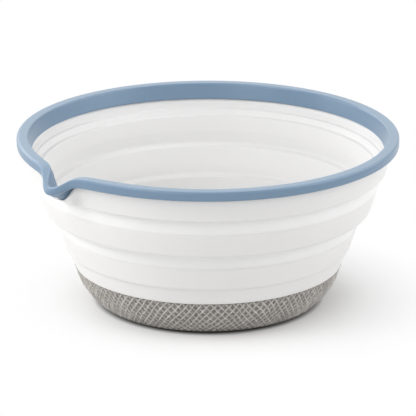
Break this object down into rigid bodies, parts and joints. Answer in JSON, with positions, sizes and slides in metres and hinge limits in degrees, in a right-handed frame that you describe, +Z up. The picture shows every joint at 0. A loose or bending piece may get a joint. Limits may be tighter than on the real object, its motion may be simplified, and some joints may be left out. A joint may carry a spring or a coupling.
{
  "type": "collapsible brush cleaning bowl",
  "caption": "Round soft-walled bowl with a stiff spouted rim, stepped rings that fold down into each other and a textured grip base, for washing brushes.",
  "frame": {"origin": "middle of the base's flat sole, on the floor", "axes": "+Z up out of the bowl, along the way it unfolds; +X out through the pouring spout; +Y to the spout's left"},
  "size_m": [0.1551, 0.15, 0.0675],
  "materials": {
    "rim_plastic": "satin",
    "wall_rubber": "matte",
    "base_plastic": "satin",
    "grip_rubber": "textured matte"
  },
  "bodies": {
    "base": {"grip_boot": "grip_rubber", "base_plate": "base_plastic", "base_wall": "wall_rubber", "scrub_pad": "wall_rubber", "lower_fold": "wall_rubber"},
    "lower_step": {"lower_band": "wall_rubber", "middle_fold": "wall_rubber"},
    "upper_step": {"upper_band": "wall_rubber", "upper_fold": "wall_rubber"},
    "rim": {"top_band": "wall_rubber", "rim_ring": "rim_plastic"}
  },
  "joints": [
    {"name": "lower_fold_slide", "type": "slide", "parent": "base", "child": "lower_step", "axis": [0, 0, -1], "range_m": [0, 0.016], "deforming": ["lower_fold"]},
    {"name": "middle_fold_slide", "type": "slide", "parent": "lower_step", "child": "upper_step", "axis": [0, 0, -1], "range_m": [0, 0.016], "deforming": ["middle_fold"]},
    {"name": "upper_fold_slide", "type": "slide", "parent": "upper_step", "child": "rim", "axis": [0, 0, -1], "range_m": [0, 0.0145], "deforming": ["upper_fold"]}
  ]
}
